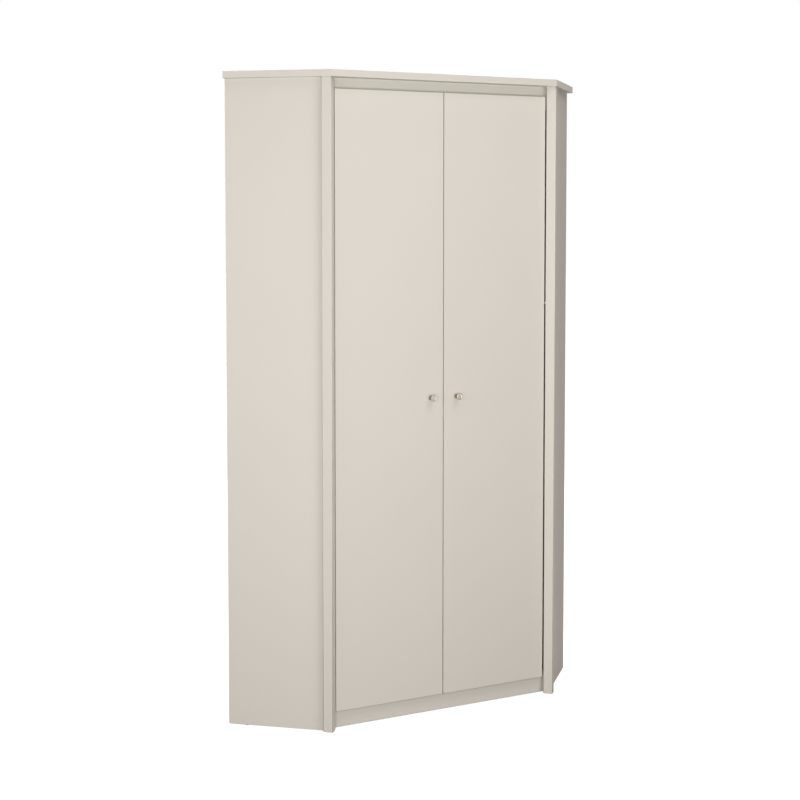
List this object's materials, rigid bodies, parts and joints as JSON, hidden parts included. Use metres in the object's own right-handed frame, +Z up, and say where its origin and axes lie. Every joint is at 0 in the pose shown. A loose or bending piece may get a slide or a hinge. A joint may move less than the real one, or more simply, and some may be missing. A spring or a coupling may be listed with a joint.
{
  "type": "corner wardrobe",
  "caption": "Tall corner wardrobe with a five-sided plan, square front posts, plain hinged doors across its diagonal front, round knobs, a hat shelf and a clothes rail.",
  "frame": {"origin": "on the floor, under the middle of the box round the plan", "axes": "+X to the right seen from the front, +Y back towards the room's corner, +Z up; the doors face -Y"},
  "size_m": [1.3718, 0.9404, 2.105],
  "materials": {
    "melamine_board": "warm pale greige melamine on chipboard, satin, fine-grained",
    "thin_back_board": "pale greige lacquered hardboard, matt",
    "satin_nickel": "satin nickel",
    "plated_steel": "nickel-plated pressed steel",
    "chromed_tube": "bright chromed tube",
    "clear_plastic": "milky soft plastic",
    "glide_plastic": "moulded plastic"
  },
  "bodies": {
    "case": {"top_board": "melamine_board", "bottom_board": "melamine_board", "hat_shelf": "melamine_board", "frieze_rail": "melamine_board", "plinth_rail": "melamine_board", "back_corner_post": "melamine_board", "side_panel_left": "melamine_board", "side_panel_right": "melamine_board", "front_post_left": "melamine_board", "front_post_right": "melamine_board", "back_panel_left": "thin_back_board", "back_panel_right": "thin_back_board", "hanging_rail": "chromed_tube", "rail_bracket_left": "plated_steel", "rail_bracket_right": "plated_steel", "shelf_pin_left_front": "plated_steel", "shelf_pin_left_rear": "plated_steel", "shelf_pin_left_corner": "plated_steel", "shelf_pin_right_front": "plated_steel", "shelf_pin_right_rear": "plated_steel", "shelf_pin_right_corner": "plated_steel", "wall_bracket_left": "plated_steel", "wall_bracket_right": "plated_steel", "glide_corner": "glide_plastic", "glide_front_left": "glide_plastic", "glide_front_right": "glide_plastic", "glide_rear_left": "glide_plastic", "glide_rear_right": "glide_plastic", "door_buffer_left": "clear_plastic", "door_buffer_right": "clear_plastic", "hinge_arm_left_1": "plated_steel", "hinge_arm_left_2": "plated_steel", "hinge_arm_left_3": "plated_steel", "hinge_arm_left_4": "plated_steel", "hinge_arm_right_1": "plated_steel", "hinge_arm_right_2": "plated_steel", "hinge_arm_right_3": "plated_steel", "hinge_arm_right_4": "plated_steel", "hinge_plate_left_1": "plated_steel", "hinge_plate_left_2": "plated_steel", "hinge_plate_left_3": "plated_steel", "hinge_plate_left_4": "plated_steel", "hinge_plate_right_1": "plated_steel", "hinge_plate_right_2": "plated_steel", "hinge_plate_right_3": "plated_steel", "hinge_plate_right_4": "plated_steel"},
    "left_leaf": {"door_left": "melamine_board", "knob_left": "satin_nickel", "knob_screw_left": "plated_steel", "hinge_cup_left_1": "plated_steel", "hinge_cup_left_2": "plated_steel", "hinge_cup_left_3": "plated_steel", "hinge_cup_left_4": "plated_steel"},
    "right_leaf": {"door_right": "melamine_board", "knob_right": "satin_nickel", "knob_screw_right": "plated_steel", "hinge_cup_right_1": "plated_steel", "hinge_cup_right_2": "plated_steel", "hinge_cup_right_3": "plated_steel", "hinge_cup_right_4": "plated_steel"}
  },
  "joints": [
    {"name": "left_door_hinge", "type": "hinge", "parent": "case", "child": "left_leaf", "pos_m": [-0.39751, -0.43294, 1.0545], "axis": [0, 0, -1], "range_deg": [0, 105]},
    {"name": "right_door_hinge", "type": "hinge", "parent": "case", "child": "right_leaf", "pos_m": [0.39751, -0.43294, 1.0545], "axis": [0, 0, 1], "range_deg": [0, 105]}
  ]
}
